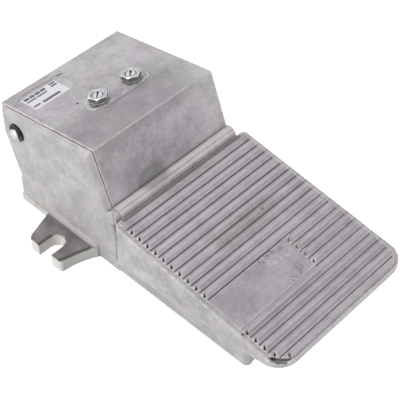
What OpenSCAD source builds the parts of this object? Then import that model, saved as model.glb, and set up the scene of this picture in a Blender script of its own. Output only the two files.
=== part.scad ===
// Pneumatic foot valve: a cast base with two ears, a cast pedal that turns on a pin at the rear,
// and a spool valve inside that the pedal pushes down through a striker plate.
// Millimetres, +Z up, X across, toe of the pedal toward -Y. Drawn with the pedal released.

/* [Pedal hood] */
// width of the hood between the ears
hood_w = 86.2; // [70:0.1:100]
// wall thickness of the hood and its front panel
hood_wall = 3.2; // [2.5:0.1:5]
// slope of the hood's top, falling toward the rear
hood_tilt = 10; // [4:0.1:14]
// place of the ridge between the top and the front panel
ridge_y = 30; // [25:0.1:35]
// height of that ridge
ridge_z = 74.25; // [68:0.05:80]
// lean of the front panel from upright
panel_lean = 20.45; // [15:0.05:26]
// rounding of the ridge
ridge_round = 1.6; // [0.5:0.1:3]
// rounding of the hood's long top edges
hood_edge_round = 1; // [0.4:0.1:2]
// rear end of the hood
tail_y = 103.4; // [98:0.1:108]
// depth of the lip at the rear end
tail_lip = 6; // [4:0.1:8]
// thickness of the two cheeks inside the ears
cheek_wall = 3.2; // [2.5:0.1:5]
// radius of the cheeks round the pin
cheek_boss_r = 8; // [6.5:0.1:9]
// raised pad under the bolt heads, length across
pad_len = 39; // [34:0.5:50]
// raised pad, width along
pad_w = 15; // [13:0.5:20]
// raised pad, height
pad_h = 0.5; // [0.3:0.1:2]

/* [Treadle] */
// slope of the treadle, falling toward the toe
tread_tilt = 8.1; // [5:0.1:11]
// height of the treadle's face at mid-length
tread_mid_z = 37.1; // [34:0.1:41]
// thickness of the treadle plate
tread_wall = 3; // [2:0.1:4]
// front end of the treadle
toe_y = -103.5; // [-110:0.5:-98]
// rear edge of the treadle beside the hood
wing_y = 10.6; // [9:0.1:11.5]
// rounding of the toe's corners
toe_round = 12; // [9:0.5:16]
// rounding of the rear corners
wing_round = 3.5; // [2:0.1:5]
// thickness of the side skirts and the toe wall
skirt_wall = 2.4; // [1.8:0.1:3.5]
// gap between a skirt and the base
skirt_gap = 0.6; // [0.4:0.05:1.2]
// rear edge of the skirts
skirt_rear_y = 9.1; // [7:0.1:9.5]
// height of the skirts' lower edge at the rear
skirt_rear_z = 10.8; // [9:0.1:14]
// rise of the lower edge toward the toe
skirt_rise = 4.55; // [3.5:0.05:5]
// rounding of the treadle's upper edges
tread_edge_round = 1.3; // [0.5:0.1:2]
// radius of the round bead at the foot of the panel
bead_r = 4.2; // [3:0.1:5]
// ends of that bead stand out of the hood's sides by this much
bead_out = 0.2; // [0.1:0.05:0.3]
// distance of the bead's axis behind the rear edge of the treadle
bead_back = 4.4; // [3.5:0.1:5]
// thickness of the two stiffening ribs underneath
stiffener_w = 3; // [2:0.1:4]
// depth of those ribs
stiffener_h = 6; // [3:0.5:8]
// place of those ribs from the middle
stiffener_x = 22; // [18:0.5:30]

/* [Grip ribs] */
// number of ribs
rib_count = 18; // [16:1:18]
// spacing of the ribs along the treadle
rib_pitch = 5.71; // [5.4:0.01:5.75]
// radius of a rib's round back
rib_r = 4.2; // [3.6:0.05:5]
// height of a rib over the plate
rib_h = 1; // [0.8:0.05:1.3]
// groove nearest to the hood, measured up the slope from mid-length
first_groove = 4.1; // [3:0.1:5]
// length of the ribs
rib_len = 94.6; // [88:0.2:95]
// first of the four ribs that stop at the bare patch
patch_first = 10; // [9:1:11]
// number of ribs that stop there
patch_ribs = 4; // [3:1:5]
// right edge of the bare patch
patch_x = 9.5; // [5:0.5:14]
// height of the bare patch over the plate
patch_h = 0.6; // [0.3:0.1:0.8]
// width of the sharp grooves between the ribs, at the plate's top
rib_groove_w = 0.7; // [0.4:0.05:1]
// depth of those grooves below the plate's top
rib_groove_depth = 0.7; // [0.4:0.05:1]
// those grooves end this far inside the ribs' ends
rib_groove_end = 0.8; // [0.5:0.1:1.5]
// length of the three-cornered pits at the ribs' left ends
pit_len = 2.6; // [1.5:0.1:3.2]
// width of those pits
pit_w = 1.4; // [1:0.1:2]
// depth of those pits
pit_depth = 1.3; // [0.8:0.1:1.6]
// turn of those pits, degrees
pit_turn = -46; // [-90:1:0]
// distance of those pits from the ribs' ends
pit_in = 1.5; // [1.1:0.1:2]
// distance of the flat toe strip from the toe's edge
strip_in = 0.8; // [0.5:0.1:1.5]
// height of that strip over the plate
strip_h = 0.4; // [0.3:0.1:1]
// wall left outside the pocket at the toe's left corner
pocket_wall = 1; // [0.7:0.1:1.6]
// width of that crescent pocket
pocket_w = 2; // [1.5:0.1:3]
// depth of that pocket
pocket_depth = 1.5; // [1:0.1:2.4]
// height of the ribbed field's floor over the plate
field_h = 0.15; // [0.1:0.05:0.3]

/* [Base] */
// thickness of the ears and the side walls
ear_wall = 3.4; // [3:0.1:5]
// gap between an ear and the hood
ear_gap = 0.4; // [0.35:0.05:1.2]
// left ear ends this far below the hood's top
ear_drop = 0.5; // [0:0.05:1]
// right ear ends this far below the hood's top
right_ear_drop = 5; // [0:0.1:6]
// right ear's front edge lies this far behind the panel
right_ear_back = 6; // [0:0.1:8]
// radius of the left ear's round nose over the end of the bead
nose_r = 3.9; // [3:0.1:4]
// that nose ends this far inside the ear's outer face
nose_step = 0.1; // [0.05:0.05:0.5]
// rounding of the ears' outer edges
ear_round = 2.4; // [1:0.1:2.8]
// rear edge of the ears
ear_rear_y = 99.7; // [97:0.1:101]
// height where the rear edge starts to slant in
ear_knee_z = 46; // [42:0.5:48]
// rear edge of the base at the floor
base_rear_y = 90.3; // [88:0.1:93]
// height where the slant meets the upright lower edge
heel_z = 17; // [14:0.5:22]
// front face of the base
base_front_y = -79.5; // [-84:0.5:-77]
// height of the front wall
front_wall_z = 13.2; // [12:0.1:13.5]
// height of the side wall where it meets the ear
side_wall_z = 24; // [20:0.5:26]
// place where the side wall meets the ear
side_wall_y = 11.5; // [10.5:0.1:13]
// top face of the floor
floor_z = 4.7; // [4:0.1:6]
// front half of the base stands clear of the ground by this much
front_lift = 1.2; // [0.6:0.1:2]
// rear half, which lies on the ground, starts here
sole_y = 23; // [18:0.5:26]
// rounding of the base's front corners
base_round = 3; // [2:0.5:5]
// diameter of the front feet
foot_d = 6; // [5:0.1:8]

/* [Mounting lugs] */
// width over both lugs
lug_span = 138; // [130:0.5:150]
// thickness of a lug
lug_h = 8; // [6:0.1:10]
// middle of the open slot
slot_y = 45.9; // [44:0.1:48]
// width of the slot
slot_w = 10; // [8.4:0.1:11]
// depth of the slot from the outer end
slot_depth = 13; // [10:0.1:15]
// length of the lug's outer end along the base
lug_end = 25.8; // [24:0.1:29]
// slope of the lug's rear edge
lug_rear_angle = 18; // [12:0.5:22]
// how far the lug's front edge flares forward at the wall
lug_flare = 7.5; // [5:0.1:9]
// rounding of the prongs
prong_round = 2; // [1:0.1:3]
// fillet between lug and wall
lug_fillet = 3; // [1.5:0.1:3.5]
// height of the flange along the wall behind a lug
flange_h = 5.4; // [4:0.1:7]
// how far that flange stands out
flange_out = 1; // [0.4:0.1:1.2]

/* [Pivot] */
// place of the pin
pivot_y = 87; // [85:0.1:89]
// height of the pin
pivot_z = 52.5; // [51:0.1:54]
// diameter of the pin
pin_d = 6; // [5:0.1:7]
// radial clearance of the pin in the ears
pin_fit = 0.02; // [0.01:0.005:0.04]
// radial running clearance of the pedal on the pin
pedal_fit = 0.06; // [0.03:0.005:0.09]
// length of the pin that stands out of an ear
pin_out = 3.6; // [2.8:0.1:5]
// radius of the pin's domed ends
dome_r = 4; // [3.7:0.1:6]
// outer diameter of a retaining ring
ring_d = 10.6; // [9.5:0.1:12]
// thickness of a retaining ring
ring_t = 0.9; // [0.7:0.05:1.2]
// depth of the ring's groove in the pin
groove_depth = 0.5; // [0.3:0.05:0.7]
// turn of the pedal from released to pressed, degrees
travel = 3; // [2:0.1:3.3]
// gap left at the stops
stop_gap = 0.3; // [0.25:0.05:0.5]
// diameter of the rest stops on the ears
stop_d = 4; // [3:0.1:4.4]
// height of the cheeks' tail edge over the pin's axis
tail_rise = 0.5; // [0:0.1:2]

/* [Striker] */
// thickness of the striker plate
striker_t = 3; // [2:0.1:4]
// width of the striker plate
striker_w = 42; // [36:0.5:50]
// length of its wide part
striker_len = 25; // [20:0.5:30]
// width of the tongue that pushes the spool
tongue_w = 18; // [14:0.5:22]
// distance of the tongue's front end ahead of the spool
tongue_over = 4.2; // [3.5:0.1:4.6]
// place of the two bolts along the base
bolt_y = 59; // [56:0.1:62]
// spacing of the two bolts
bolt_gap = 24; // [22:0.1:28]
// diameter of the bolts
bolt_d = 6; // [5:0.1:6.5]
// width across flats of the bolt heads and nuts
bolt_flats = 10; // [9:0.1:11]
// height of a bolt head
head_h = 4; // [3.5:0.1:5]
// chamfer at a bolt's end and round a nut's bore
thread_chamfer = 0.5; // [0.3:0.05:0.8]
// bolts end this far below the top of their nuts
bolt_short = 0.3; // [0.2:0.1:1]
// width of the screwdriver slot in a bolt's end
driver_w = 1.2; // [0.8:0.1:1.6]
// depth of that slot
driver_depth = 1.2; // [0.8:0.1:2]
// turn of that slot, degrees
driver_turn = 45; // [0:5:180]
// turn of the left nut, degrees
left_nut_turn = 45; // [0:5:60]
// turn of the right nut, degrees
right_nut_turn = 30; // [0:5:60]
// outer diameter of a spring washer
washer_d = 9.8; // [9:0.1:11.5]
// thickness of a spring washer
washer_t = 1.2; // [1:0.1:2]
// height of a nut
nut_h = 3.2; // [3:0.1:5]
// radial play of a bolt in its hole
bolt_play = 0.3; // [0.2:0.05:0.6]
// radial gap drawn between a thread and its nut
thread_gap = 0.05; // [0.02:0.01:0.08]
// seating gap between pieces that lie on each other
seat_gap = 0.02; // [0.01:0.005:0.05]

/* [Valve] */
// width of the valve body
valve_w = 68; // [62:0.5:72]
// front face of the valve body
valve_front_y = 27; // [26:0.1:28]
// rear face of the valve body
valve_rear_y = 82; // [80:0.1:83]
// top of the valve body
valve_top_z = 40; // [38:0.1:42]
// place of the spool's axis
spool_y = 38; // [37:0.1:40]
// width of the raised neck round the spool
neck_w = 36; // [32:0.5:40]
// length of that neck
neck_len = 20; // [18:0.5:21]
// top of that neck
neck_z = 49; // [46:0.1:51]
// diameter of the port threads' core
port_d = 11.8; // [11.4:0.1:12.4]
// depth of a port
port_depth = 13; // [11:0.1:14]
// height of the three lower ports
port_low_z = 14; // [13:0.1:15]
// spacing of the lower ports
port_low_gap = 22; // [19:0.1:23]
// height of the two upper ports
port_high_z = 30.4; // [29:0.1:31]
// spacing of the two upper ports
port_high_gap = 25; // [20:0.1:28]
// spot face round a port, diameter
spot_d = 15.4; // [14.5:0.1:15.8]
// spot face, depth
spot_depth = 0.6; // [0.3:0.1:1]
// diameter of the air passages
passage_d = 4.5; // [3.5:0.1:5]
// diameter of the screws that hold the valve body
screw_d = 5; // [4:0.1:5.5]
// head diameter of those screws
screw_head_d = 9.5; // [8:0.1:10]
// depth of those screws in the valve body
screw_depth = 9; // [7:0.1:11]
// place of those screws from the middle
screw_x = 27; // [25:0.1:29]
// front pair of those screws
screw_front_y = 34; // [32:0.1:36]
// rear pair of those screws
screw_rear_y = 59; // [56:0.1:60]

/* [Spool] */
// diameter of the spool's lands
spool_d = 9.6; // [9:0.05:10]
// radial gap between lands and bore
spool_gap = 0.3; // [0.25:0.01:0.4]
// radial gap between the spool's rings and the bore
seal_gap = 0.05; // [0.02:0.005:0.09]
// thickness of the spool's rings
seal_t = 1.8; // [1.4:0.05:2]
// height of the lowest ring
seal_low_z = 18; // [17.5:0.1:19]
// spacing of the rings
seal_pitch = 4.4; // [4:0.05:4.5]
// number of rings
seal_count = 6; // [5:1:6]
// lower end of the spool
spool_low_z = 16; // [15.5:0.1:16.4]
// upper end of the spool's lands
spool_high_z = 42; // [41.5:0.1:42.5]
// diameter of the stem
stem_d = 7; // [6:0.1:8]
// radius of the round push button
button_r = 6; // [5:0.1:7]
// height of the button's straight side
button_h = 2; // [1.5:0.1:3]
// outer diameter of the guide bush
guide_d = 13; // [12:0.1:14]
// height of the guide bush
guide_h = 5; // [4:0.1:5.5]
// radial running clearance of the stem in the bush
stem_fit = 0.05; // [0.02:0.005:0.09]
// thickness of the wiper ring
wiper_t = 1.6; // [1.2:0.1:2]
// thickness of the top cover
cover_t = 3; // [2:0.1:3.5]
// spacing of the cover's screws
cover_screw_gap = 26; // [22:0.1:28]
// diameter of the cover's screws
cover_screw_d = 4; // [3:0.1:4.2]
// head diameter of the cover's screws
cover_head_d = 7; // [6:0.1:7.6]
// depth of the cover's screws in the neck
cover_screw_depth = 8; // [6:0.1:10]
// diameter of the bottom plug
plug_d = 13; // [12:0.1:14]
// height of the bottom plug over the floor
plug_top_z = 9.5; // [9:0.1:10]
// thickness of the plug's ring
plug_seal_t = 1.6; // [1.2:0.1:2]
// wire of the spool's spring
spool_wire = 0.9; // [0.6:0.05:1.1]
// outer diameter of the spool's spring
spool_spring_d = 7.6; // [7:0.1:8.2]
// turns of the spool's spring
spool_turns = 3; // [2.5:0.5:4]

/* [Return spring and bumper] */
// place of the return spring
return_y = 64; // [62:0.1:66]
// outer diameter of the return spring
return_d = 15; // [12:0.1:17]
// wire of the return spring
return_wire = 1.8; // [1.2:0.05:2.2]
// turns of the return spring
return_turns = 5; // [3.5:0.5:6]
// depth of the spring's seat in the valve body
return_seat = 2; // [1:0.1:3]
// clearance round the spring in its seat
return_play = 0.6; // [0.3:0.05:1]
// thickness of the spring cap's plate under the striker, at the axis
cap_t = 3.4; // [3:0.1:5]
// length of the cap's stub inside the spring
cap_stub = 4; // [3:0.1:6]
// gap between the spring and the faces it sits on
spring_gap = 0.05; // [0.02:0.01:0.1]
// distance of the rubber bumper behind the front face of the base
bumper_in = 21.5; // [16:0.5:28]
// diameter of the bumper
bumper_d = 16; // [12:0.5:20]
// diameter of the bumper's stem
bumper_stem = 6; // [5:0.1:7]
// radial gap round the stem
stem_gap = 0.05; // [0.02:0.01:0.1]

/* [Hidden] */
$fn = 64;
over = 1;
far = 300;
coil_slices = 16;

// across
hood_x = hood_w / 2;
ear_in = hood_x + ear_gap;
ear_out = ear_in + ear_wall;
skirt_in = ear_out + skirt_gap;
tread_x = skirt_in + skirt_wall;
lug_x = lug_span / 2;
cheek_in = hood_x - cheek_wall;

// slopes seen from the side
function hood_z(y) = ridge_z - (y - ridge_y) * tan(hood_tilt);
function panel_y(z) = ridge_y - (ridge_z - z) * tan(panel_lean);
function tread_z(y) = tread_mid_z + y * tan(tread_tilt);
function skirt_z(y) = skirt_rear_z + (skirt_rear_y - y) * tan(skirt_rise);
function turned_z(y, z) = pivot_z + (y - pivot_y) * sin(travel) + (z - pivot_z) * cos(travel);
function arc(cy, cz, r, from, to, steps) =
    [for (i = [0 : steps]) let (a = from + (to - from) * i / steps) [cy + r * cos(a), cz + r * sin(a)]];

hood_drop = hood_wall / cos(hood_tilt);
panel_back = hood_wall / cos(panel_lean);
tread_drop = tread_wall / cos(tread_tilt);
bead_y = wing_y + bead_back;
bead_z = tread_z(wing_y);
cheek_low_z = bead_z - bead_r;
cheek_tail_z = pivot_z + tail_rise;
stop_y = pivot_y + cheek_boss_r + stop_d / 2 + stop_gap;
toe_low_z = skirt_z(toe_y);
field_round = toe_round - tread_x + rib_len / 2;
last_groove = first_groove - rib_count * rib_pitch;

// hood stack along its own normal
striker_top = -hood_wall - seat_gap;
striker_low = striker_top - striker_t;
washer_low = pad_h + seat_gap;
nut_low = washer_low + washer_t + seat_gap;
nut_top = nut_low + nut_h;
head_top = striker_low - seat_gap;
bolt_end = nut_top - bolt_short;
bolt_s = (bolt_y - ridge_y) / cos(hood_tilt);
striker_rear_s = bolt_s + striker_len / 2;
tongue_front_s = (spool_y - tongue_over - ridge_y) / cos(hood_tilt);
hole_r = bolt_d / 2 + bolt_play;
function striker_z(y) = hood_z(y) + striker_low / cos(hood_tilt);

// spool
bore_r = spool_d / 2 + spool_gap;
seal_out = bore_r - seal_gap;
seal_mid = seal_out - seal_t / 2;
cover_low = neck_z + seat_gap;
cover_top = cover_low + cover_t;
guide_low = neck_z - guide_h;
button_z = striker_z(spool_y) - (button_r + stop_gap) / cos(hood_tilt);
plug_low = floor_z + seat_gap;
return_low = valve_top_z - return_seat + spring_gap;
cap_low = striker_z(return_y) - cap_t;
return_high = cap_low - spring_gap;
bumper_y = base_front_y + bumper_in;
bumper_top = turned_z(bumper_y - bumper_d / 2, tread_z(bumper_y - bumper_d / 2) - tread_drop) - stop_gap;

// colours
cast_grey = [0.72, 0.71, 0.71];
steel = [0.80, 0.81, 0.82];
dark_steel = [0.16, 0.16, 0.17];
brass = [0.78, 0.62, 0.30];
black_rubber = [0.07, 0.07, 0.07];
machined = [0.77, 0.78, 0.79];

// a side view drawn in (y, z) and pushed across from x0 to x1
module side_slab(x0, x1) {
    translate([x0, 0, 0])
        rotate([90, 0, 90])
            linear_extrude(x1 - x0)
                children();
}

// both sides of the middle plane
module both_sides() {
    children();
    mirror([1, 0, 0])
        children();
}

// frame on the hood's top: x across, y to the rear along the slope, z out of the face
module on_hood() {
    translate([0, ridge_y, ridge_z])
        rotate([-hood_tilt, 0, 0])
            children();
}

// frame on the treadle's face: y up the slope, z out of the face
module on_tread() {
    translate([0, 0, tread_mid_z])
        rotate([tread_tilt, 0, 0])
            children();
}

// section of a wide bar with its two top edges rounded; top face on y = 0
module rounded_top(half, depth, r) {
    translate([-half, -depth])
        square([2 * half, depth - r]);
    translate([-half + r, -depth])
        square([2 * (half - r), depth]);
    for (side = [-1, 1])
        translate([side * (half - r), -r])
            circle(r);
}

// section with one outer corner rounded; corner at the origin, body toward -x and -y
module rounded_corner(w, depth, r) {
    translate([-w, -depth])
        square([w, depth - r]);
    translate([-w, -depth])
        square([w - r, depth]);
    translate([-r, -r])
        circle(r);
}

// plate outline with rounded corners at the front and the rear
module plan(half, front, rear, r_front, r_rear) {
    translate([-half, front + r_front])
        square([2 * half, rear - r_rear - front - r_front]);
    translate([-half + r_front, front])
        square([2 * (half - r_front), r_front + over]);
    translate([-half + r_rear, rear - r_rear - over])
        square([2 * (half - r_rear), r_rear + over]);
    for (side = [-1, 1]) {
        translate([side * (half - r_front), front + r_front])
            circle(r_front);
        translate([side * (half - r_rear), rear - r_rear])
            circle(r_rear);
    }
}

// a bar along x
module bar(y, z, r, half) {
    translate([-half, y, z])
        rotate([0, 90, 0])
            cylinder(r = r, h = 2 * half);
}

// a drilled passage between two points
module passage(p, q, r) {
    d = q - p;
    translate(p)
        rotate([0, acos(d[2] / norm(d)), atan2(d[1], d[0])])
            cylinder(r = r, h = norm(d), $fn = 32);
}

// wire coil round the z axis, cut flat at both ends
module coil(low, high, wire, outer, turns) {
    pitch = (high - low - wire) / turns;
    rise = high - low;
    half = 180 * wire / pitch;
    mid = outer / 2 - wire / 2;
    steps = 6;
    section = concat(
        [for (i = [-steps : steps]) let (u = i / steps)
            [half * u, mid + wire / 2 * sqrt(max(0, 1 - u * u))]],
        [for (i = [steps - 1 : -1 : 1 - steps]) let (u = i / steps)
            [half * u, mid - wire / 2 * sqrt(max(0, 1 - u * u))]]);
    translate([0, 0, low])
        linear_extrude(rise, twist = -360 * rise / pitch, slices = ceil(coil_slices * rise / pitch), $fn = 8)
            polygon([for (p = section) [p[1] * cos(p[0]), p[1] * sin(p[0])]]);
}

// hood, front panel and cheeks as seen from the side
module hood_side() {
    ridge_a = 90 - hood_tilt;
    ridge_b = 180 - panel_lean;
    turn = (ridge_b - ridge_a) / 2;
    reach = ridge_round / cos(turn);
    ridge_mid = (ridge_a + ridge_b) / 2;
    ry = ridge_y - reach * cos(ridge_mid);
    rz = ridge_z - reach * sin(ridge_mid);
    polygon(concat(
        [[tail_y, hood_z(tail_y)]],
        arc(ry, rz, ridge_round, ridge_a, ridge_b, 6),
        [[panel_y(cheek_low_z), cheek_low_z],
            [pivot_y - cheek_boss_r, pivot_z - cheek_boss_r * 0.6],
            [pivot_y, cheek_tail_z],
            [tail_y, cheek_tail_z]]));
    translate([pivot_y, pivot_z])
        circle(cheek_boss_r);
}

// space inside the hood, open below and at the rear under the lip
module hood_hollow_side() {
    lean = tan(panel_lean);
    corner_y = ridge_y + (panel_back - hood_drop * lean) / (1 + tan(hood_tilt) * lean);
    polygon([[tail_y - hood_wall, hood_z(tail_y - hood_wall) - hood_drop],
        [corner_y, hood_z(corner_y) - hood_drop],
        [panel_y(0) + panel_back, 0],
        [tail_y - hood_wall, 0]]);
    translate([tail_y - hood_wall - over, 0])
        square([far, hood_z(tail_y) - tail_lip]);
}

module hood_shell() {
    difference() {
        intersection() {
            side_slab(-hood_x, hood_x)
                hood_side();
            on_hood()
                translate([0, far, 0])
                    rotate([90, 0, 0])
                        linear_extrude(2 * far)
                            rounded_top(hood_x, far, hood_edge_round);
        }
        side_slab(-cheek_in, cheek_in)
            hood_hollow_side();
    }
    // pad under the bolt heads
    on_hood()
        translate([0, bolt_s, -hood_wall / 2])
            linear_extrude(hood_wall / 2 + pad_h) {
                translate([-(pad_len - pad_w) / 2, -pad_w / 2])
                    square([pad_len - pad_w, pad_w]);
                for (side = [-1, 1])
                    translate([side * (pad_len - pad_w) / 2, 0])
                        circle(d = pad_w);
            }
}

// treadle plate with skirts as seen from the side; its top, toe and rear are cut to shape elsewhere
module tread_side() {
    polygon([[wing_y + over, tread_z(wing_y) + 2 * over],
        [toe_y - over, tread_z(toe_y) + 2 * over],
        [toe_y - over, skirt_z(toe_y - over)],
        [skirt_rear_y, skirt_rear_z],
        [skirt_rear_y, tread_z(wing_y) - tread_drop],
        [wing_y + over, tread_z(wing_y) - tread_drop]]);
}

module tread_hollow_side() {
    polygon([[wing_y + over, tread_z(wing_y + over) - tread_drop],
        [toe_y, tread_z(toe_y) - tread_drop],
        [toe_y, 0],
        [wing_y + over, 0]]);
}

module tread_shell() {
    difference() {
        intersection() {
            side_slab(-tread_x - over, tread_x + over)
                tread_side();
            linear_extrude(far)
                plan(tread_x, toe_y, wing_y, toe_round, wing_round);
            on_tread()
                translate([0, far, 0])
                    rotate([90, 0, 0])
                        linear_extrude(2 * far)
                            rounded_top(tread_x, far, tread_edge_round);
        }
        intersection() {
            side_slab(-skirt_in, skirt_in)
                tread_hollow_side();
            linear_extrude(far)
                plan(skirt_in, toe_y + skirt_wall, wing_y + far, toe_round - skirt_wall, over);
        }
    }
}

// half length of a rib at a place up the slope; it shortens inside the toe's round corners
function rib_half(v) =
    let (depth = min(0, v - toe_y - toe_round))
    rib_len / 2 - field_round + sqrt(max(0, field_round * field_round - depth * depth));
function rib_place(k) = first_groove - (k + 0.5) * rib_pitch;
function rib_cut(k) = k >= patch_first && k < patch_first + patch_ribs;
function rib_left(k) = rib_cut(k) ? patch_x : -rib_half(rib_place(k));

// ribbed field as seen from the side: a low plate, round ribs and the flat strip at the toe
module field_section() {
    front = toe_y + strip_in;
    rear = wing_y - wing_round / 2;
    groove = rib_pitch / 2 - sqrt(rib_r * rib_r - (rib_r - rib_h + field_h) * (rib_r - rib_h + field_h));
    intersection() {
        union() {
            translate([front, -tread_wall])
                square([rear - front, tread_wall + field_h]);
            translate([front, -tread_wall])
                square([last_groove - groove - front, tread_wall + strip_h]);
            for (k = [-1 : rib_count - 1])
                translate([rib_place(k), rib_h - rib_r])
                    circle(rib_r);
        }
        translate([front - over, -tread_wall / 2])
            square([rear - front + 2 * over, tread_wall]);
    }
}

// ribbed field with its bare patch and its flat toe strip
module grip() {
    patch_low = first_groove - (patch_first + patch_ribs) * rib_pitch;
    on_tread() {
        difference() {
            intersection() {
                side_slab(-rib_len / 2, rib_len / 2)
                    field_section();
                translate([0, 0, -tread_wall])
                    linear_extrude(2 * tread_wall)
                        plan(rib_len / 2, toe_y + strip_in, wing_y, field_round, over);
            }
            translate([-rib_len, patch_low, patch_h / 2])
                cube([rib_len + patch_x, patch_ribs * rib_pitch, tread_wall]);
        }
        translate([-rib_len / 2 + field_h, patch_low - field_h, -tread_wall / 4])
            cube([rib_len / 2 + patch_x, patch_ribs * rib_pitch + 2 * field_h, tread_wall / 4 + patch_h]);
    }
}

// crescent pocket inside the round left corner of the toe
module toe_pocket() {
    r = toe_round - pocket_wall;
    on_tread()
        translate([toe_round - tread_x, (toe_y + toe_round) / cos(tread_tilt), -pocket_depth])
            linear_extrude(pocket_depth + tread_wall)
                intersection() {
                    circle(r);
                    rotate(-135)
                        translate([r - pocket_w, -r])
                            square([2 * pocket_w, 2 * r]);
                }
}

// sharp grooves between the ribs, as seen from the side
module groove_section() {
    rise = rib_h + over;
    half = rib_groove_w / 2 * (rib_groove_depth + rise) / rib_groove_depth;
    for (k = [0 : rib_count])
        translate([first_groove - k * rib_pitch, 0])
            polygon([[-half, rise], [0, -rib_groove_depth], [half, rise]]);
}

// those grooves, left out of the bare patch
module grooves() {
    patch_low = first_groove - (patch_first + patch_ribs) * rib_pitch;
    half_len = rib_len / 2 - rib_groove_end;
    on_tread()
        difference() {
            intersection() {
                side_slab(-half_len, half_len)
                    groove_section();
                translate([0, 0, -tread_wall])
                    linear_extrude(2 * tread_wall)
                        plan(half_len, toe_y + strip_in + rib_groove_end, wing_y, field_round, over);
            }
            translate([-rib_len, patch_low + rib_groove_w, -tread_wall])
                cube([rib_len + patch_x, patch_ribs * rib_pitch - 2 * rib_groove_w, 2 * tread_wall]);
        }
}

// three-cornered pits at the ribs' left ends
module pits() {
    on_tread()
        for (k = [0 : rib_count - 1])
            translate([rib_left(k) + pit_in, rib_place(k), rib_h - pit_depth])
                rotate(pit_turn)
                    linear_extrude(pit_depth + over)
                        polygon([[-pit_w / 2, -pit_len / 2], [pit_w / 2, -pit_len / 2], [0, pit_len / 2]]);
}

module pedal() {
    color(cast_grey)
        difference() {
            union() {
                hood_shell();
                tread_shell();
                grip();
                bar(bead_y, bead_z, bead_r, hood_x + bead_out);
                both_sides()
                    intersection() {
                        side_slab(stiffener_x - stiffener_w / 2, stiffener_x + stiffener_w / 2)
                            polygon([[bead_y, tread_z(bead_y) - tread_drop / 2],
                                [base_front_y + ear_wall + stiffener_h, tread_z(base_front_y) - tread_drop / 2],
                                [base_front_y + ear_wall + 2 * stiffener_h,
                                    tread_z(base_front_y + ear_wall + 2 * stiffener_h) - tread_drop - stiffener_h],
                                [bead_y, tread_z(bead_y) - tread_drop - stiffener_h]]);
                    }
            }
            // pin, bolts, grooves, corner pocket and the pits at the ribs' ends
            bar(pivot_y, pivot_z, pin_d / 2 + pedal_fit, hood_x + over);
            on_hood()
                for (side = [-1, 1])
                    translate([side * bolt_gap / 2, bolt_s, -hood_wall - over])
                        cylinder(r = hole_r, h = hood_wall + pad_h + 2 * over);
            grooves();
            toe_pocket();
            pits();
        }
}

// ear as seen from the side, from the floor up
module ear_side(drop, back) {
    lean = tan(panel_lean);
    front_y = ridge_y + (back - drop * lean) / (1 + tan(hood_tilt) * lean);
    polygon([[side_wall_y, 0],
        [base_rear_y, 0],
        [base_rear_y, heel_z],
        [ear_rear_y, ear_knee_z],
        [ear_rear_y, hood_z(ear_rear_y) - drop],
        [front_y, hood_z(front_y) - drop],
        [side_wall_y, ridge_z - (ridge_y + back - side_wall_y) / lean]]);
}

// drawn on the +x side, this far below the hood's top and behind its panel
module ear(drop, back) {
    slant = atan2(ear_rear_y - base_rear_y, ear_knee_z - heel_z);
    intersection() {
        side_slab(ear_in, ear_out)
            ear_side(drop - over, back - over);
        // rounding along the top
        on_hood()
            translate([ear_out, far, -drop * cos(hood_tilt)])
                rotate([90, 0, 0])
                    linear_extrude(2 * far)
                        rounded_corner(ear_wall + over, far, ear_round);
        // rounding along the sloping front
        translate([ear_out, ridge_y + back, ridge_z])
            rotate([-panel_lean, 0, 0])
                translate([0, 0, -far])
                    mirror([0, 1, 0])
                        linear_extrude(2 * far)
                            rounded_corner(ear_wall + over, far, ear_round);
        // rounding along the rear
        translate([ear_out, ear_rear_y, 0])
            linear_extrude(far)
                rounded_corner(ear_wall + over, far, ear_round);
        // rounding along the slanting rear edge
        translate([ear_out, ear_rear_y, ear_knee_z])
            rotate([-slant, 0, 0])
                translate([0, 0, -far])
                    linear_extrude(2 * far)
                        rounded_corner(ear_wall + over, far, ear_round);
    }
    // rest stop under the pedal's tail
    translate([cheek_in, stop_y, cheek_tail_z - stop_gap - stop_d / 2])
        rotate([0, 90, 0])
            cylinder(d = stop_d, h = ear_in - cheek_in + ear_wall / 2);
}

// outline of a lug without its slot; drawn on the +x side
module lug_plan() {
    front = slot_y - lug_end / 2;
    rear = slot_y + lug_end / 2;
    root = ear_out - ear_wall / 2;
    reach = lug_x - root;
    steps = 12;
    difference() {
        polygon(concat(
            [for (i = [0 : steps]) let (u = i / steps)
                [root + reach * u, front - lug_flare * (1 - u) * (1 - u)]],
            [[lug_x, rear],
                [root, rear + reach * tan(lug_rear_angle)]]));
        // rounded outer corners of the prongs
        prong_corner(lug_x, front, 1);
        prong_corner(lug_x, rear, -1);
    }
}

// lug with an open slot and a fillet to the wall; drawn on the +x side
module lug() {
    slot_x = lug_x - slot_depth + slot_w / 2;
    difference() {
        union() {
            linear_extrude(lug_h)
                lug_plan();
            intersection() {
                linear_extrude(lug_h + lug_fillet)
                    lug_plan();
                translate([0, far, 0])
                    rotate([90, 0, 0])
                        linear_extrude(2 * far)
                            difference() {
                                translate([ear_in, lug_h - over])
                                    square([ear_out + lug_fillet - ear_in, lug_fillet + over]);
                                translate([ear_out + lug_fillet, lug_h + lug_fillet])
                                    circle(lug_fillet);
                            }
            }
        }
        translate([slot_x, slot_y, -over])
            cylinder(d = slot_w, h = lug_h + lug_fillet + 2 * over);
        translate([slot_x, slot_y - slot_w / 2, -over])
            cube([slot_depth, slot_w, lug_h + lug_fillet + 2 * over]);
    }
}

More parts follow.
